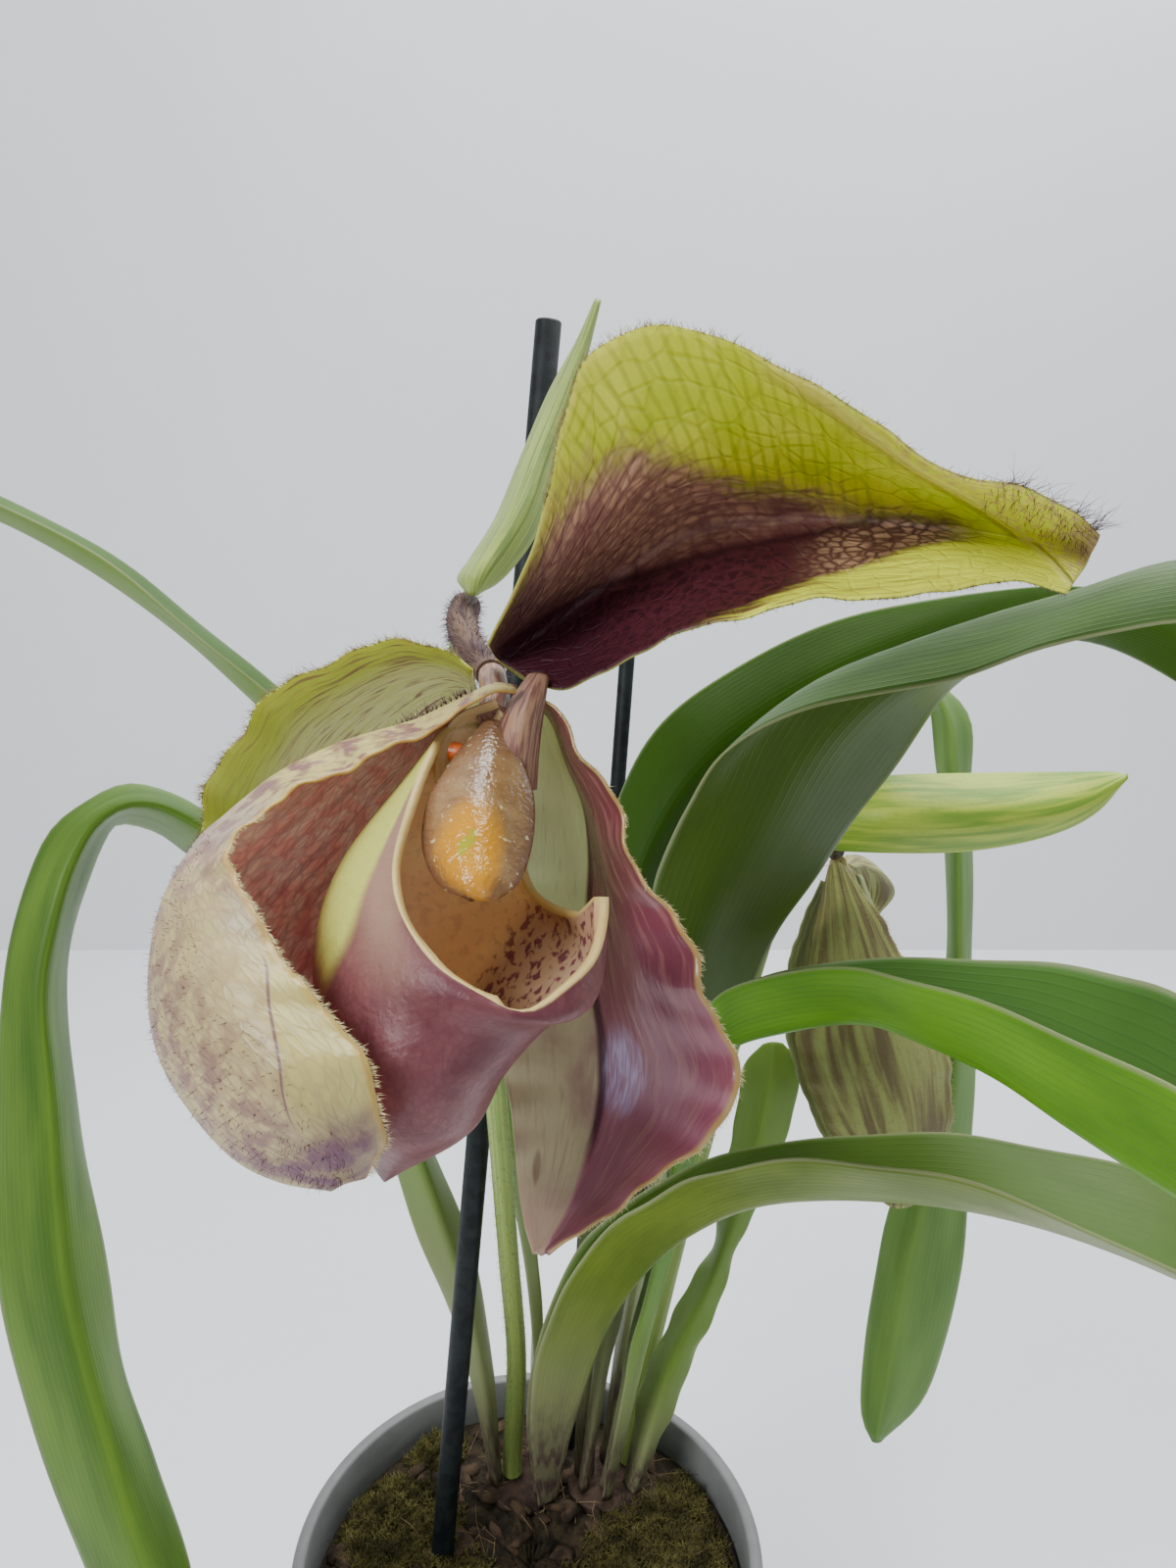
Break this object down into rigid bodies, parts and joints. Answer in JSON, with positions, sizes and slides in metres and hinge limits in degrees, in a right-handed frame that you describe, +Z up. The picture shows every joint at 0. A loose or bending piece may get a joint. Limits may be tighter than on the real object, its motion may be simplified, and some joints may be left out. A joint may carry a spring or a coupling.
{
  "type": "potted paphiopedilum orchid",
  "caption": "Slipper orchid with strap leaves, a large nodding flower, a drooping second flower and stakes, in a grey pot.",
  "frame": {"origin": "middle of the pot's underside", "axes": "+Z up, the main flower faces -Y, and +X is to the right as seen from the front"},
  "size_m": [0.3166, 0.2425, 0.4049],
  "materials": {
    "pot": "matte",
    "mix": "rough damp bark and moss, stands in for soil",
    "stake": "satin",
    "crown": "rough, stands in for a rhizome",
    "leaf": "waxy satin, stands in for leaf tissue",
    "scape": "fine hairs, stands in for stem tissue",
    "bract": "satin, stands in for leaf tissue",
    "ovary": "hairy, stands in for stem tissue",
    "dorsal_sepal": "soft satin, stands in for petal tissue",
    "synsepal": "soft satin, stands in for petal tissue",
    "petal_left": "glossy, stands in for petal tissue",
    "petal_right": "glossy, stands in for petal tissue",
    "pouch": "satin, stands in for petal tissue",
    "staminode": "glossy, stands in for petal tissue",
    "column": "satin, stands in for petal tissue",
    "second_sepal": "soft satin, stands in for petal tissue",
    "second_petal": "soft satin, stands in for petal tissue",
    "second_pouch": "satin, stands in for petal tissue"
  },
  "bodies": {
    "root": {"pot": "pot", "potting_mix": "mix", "stake_front": "stake", "stake_back": "stake", "crown_left": "crown", "crown_right": "crown", "leaf_front_low": "leaf", "leaf_right_middle": "leaf", "leaf_right_short": "leaf", "leaf_right_broad": "leaf", "leaf_right_arch": "leaf", "leaf_back_droop": "leaf", "leaf_left_droop": "leaf", "leaf_left_high": "leaf", "scape_main": "scape", "scape_second": "scape", "bract_main": "bract", "bract_second": "bract", "ovary_main": "ovary", "ovary_second": "ovary", "dorsal_sepal": "dorsal_sepal", "synsepal": "synsepal", "petal_left": "petal_left", "petal_right": "petal_right", "pouch": "pouch", "staminode": "staminode", "column_main": "column", "column_second": "column", "sepal_back_second": "second_sepal", "dorsal_second": "second_sepal", "petal_left_second": "second_petal", "petal_right_second": "second_petal", "pouch_second": "second_pouch"}
  },
  "joints": []
}
